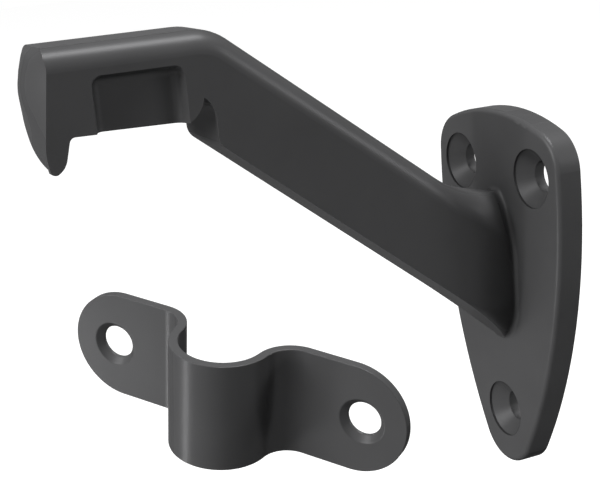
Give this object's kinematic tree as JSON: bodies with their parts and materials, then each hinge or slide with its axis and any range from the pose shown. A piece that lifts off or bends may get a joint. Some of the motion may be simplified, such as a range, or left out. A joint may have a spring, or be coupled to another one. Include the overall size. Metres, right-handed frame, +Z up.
{
  "type": "handrail bracket",
  "caption": "Wall bracket for a handrail: screw plate, sloped arm, saddle bar with a recessed strap seat, and a folded rail strap shown taken off.",
  "frame": {"origin": "on the back face of the wall plate, midway between its two upper screw holes", "axes": "the wall is the plane X = 0, the arm reaches out along -X, the handrail runs along Y, and +Z is up"},
  "size_m": [0.0983, 0.0999, 0.0923],
  "materials": {
    "casting_coating": "satin black coating on a die casting",
    "strap_coating": "satin black coating on folded sheet"
  },
  "bodies": {
    "root": {"bracket_casting": "casting_coating", "rail_strap": "strap_coating"}
  },
  "joints": []
}
